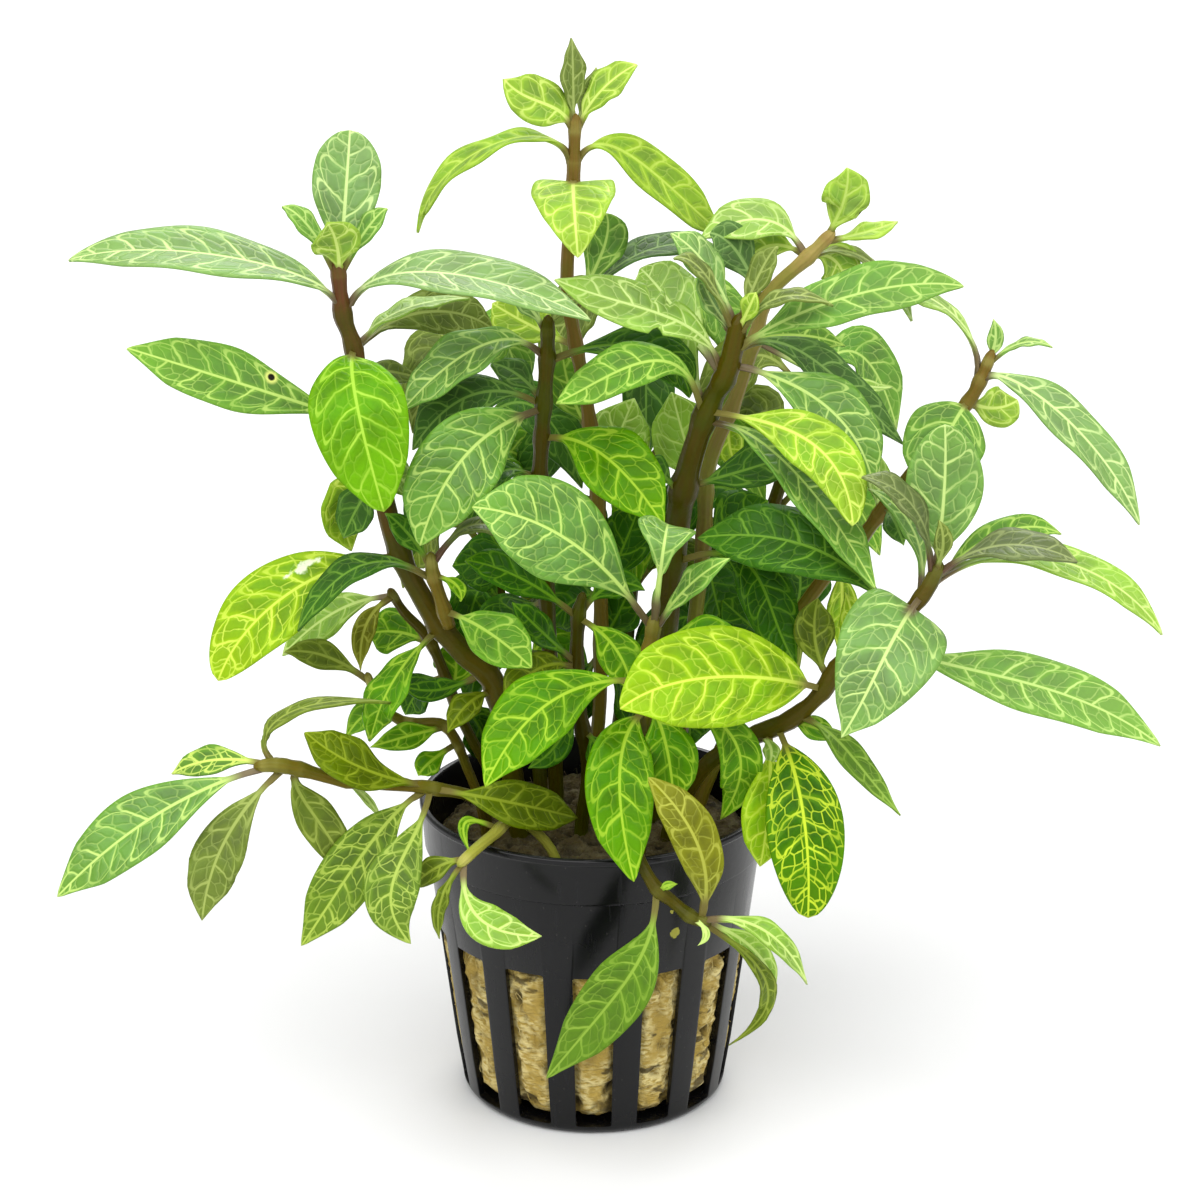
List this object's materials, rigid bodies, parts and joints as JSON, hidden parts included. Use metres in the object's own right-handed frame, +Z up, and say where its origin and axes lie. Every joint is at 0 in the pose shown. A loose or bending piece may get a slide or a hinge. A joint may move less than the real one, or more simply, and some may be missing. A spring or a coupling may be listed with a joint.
{
  "type": "potted aquatic stem plant",
  "caption": "Bunch of leafy water plant cuttings with pale netted veins, rooted in mineral wool in a slotted round net pot.",
  "frame": {"origin": "centre of the pot's underside", "axes": "+Z up along the pot's axis, -Y towards the viewer of the picture, +X to the viewer's right"},
  "size_m": [0.1673, 0.0888, 0.1704],
  "materials": {
    "pot_plastic": "satin charcoal, moulded",
    "mineral_wool": "matt, loose tan fibres",
    "stem": "smooth, brown to olive, with swollen nodes",
    "leaf_blue": "blue-green with a pale net of veins, faint wax bloom",
    "leaf_brown": "brown olive, ageing, with pale veins",
    "leaf_dark": "deep green with faint veins",
    "leaf_fresh": "fresh green with pale yellow-green veins",
    "leaf_lime": "bright lime with pale yellow-green veins",
    "leaf_net": "green with a bold net of yellow-green veins",
    "leaf_olive": "olive green with faint veins",
    "leaf_pale": "pale green with soft veins"
  },
  "bodies": {
    "root": {"leaf_centre_arching": "leaf_blue", "leaf_centre_dark": "leaf_dark", "leaf_centre_facing": "leaf_blue", "leaf_centre_right": "leaf_fresh", "leaf_far_right": "leaf_blue", "leaf_front_hanging": "leaf_fresh", "leaf_front_left": "leaf_blue", "leaf_front_low": "leaf_fresh", "leaf_front_upright": "leaf_blue", "leaf_left_across": "leaf_blue", "leaf_left_drooping": "leaf_lime", "leaf_left_facing": "leaf_lime", "leaf_left_long": "leaf_blue", "leaf_left_spotted": "leaf_fresh", "leaf_left_upright": "leaf_blue", "leaf_low_facing": "leaf_blue", "leaf_low_front": "leaf_lime", "leaf_low_hanging": "leaf_fresh", "leaf_low_long": "leaf_fresh", "leaf_low_net": "leaf_net", "leaf_low_right": "leaf_pale", "leaf_low_upright": "leaf_blue", "leaf_right_behind": "leaf_fresh", "leaf_right_bitten": "leaf_pale", "leaf_right_bright": "leaf_lime", "leaf_right_hanging": "leaf_blue", "leaf_right_long": "leaf_fresh", "leaf_right_narrow": "leaf_blue", "leaf_rim_curled": "leaf_net", "leaf_rim_left": "leaf_net", "leaf_rim_olive": "leaf_olive", "leaf_side_net": "leaf_fresh", "leaf_top_facing": "leaf_lime", "leaf_top_left": "leaf_lime", "leaf_top_right": "leaf_lime", "leaf_trailing_brown": "leaf_brown", "leaf_trailing_long": "leaf_blue", "leaf_trailing_low": "leaf_fresh", "pot": "pot_plastic", "rockwool_plug": "mineral_wool", "stem_back_centre": "stem", "stem_back_left": "stem", "stem_back_right": "stem", "stem_bent_left": "stem", "stem_front": "stem", "stem_left_centre": "stem", "stem_low_left": "stem", "stem_low_right": "stem", "stem_middle": "stem", "stem_right": "stem", "stem_side_left": "stem", "stem_small_left": "stem", "stem_tall_centre": "stem", "stem_tall_left": "stem", "stem_thick_right": "stem", "stem_trailing_left": "stem", "stem_trailing_right": "stem", "stem_upper_right": "stem"}
  },
  "joints": []
}
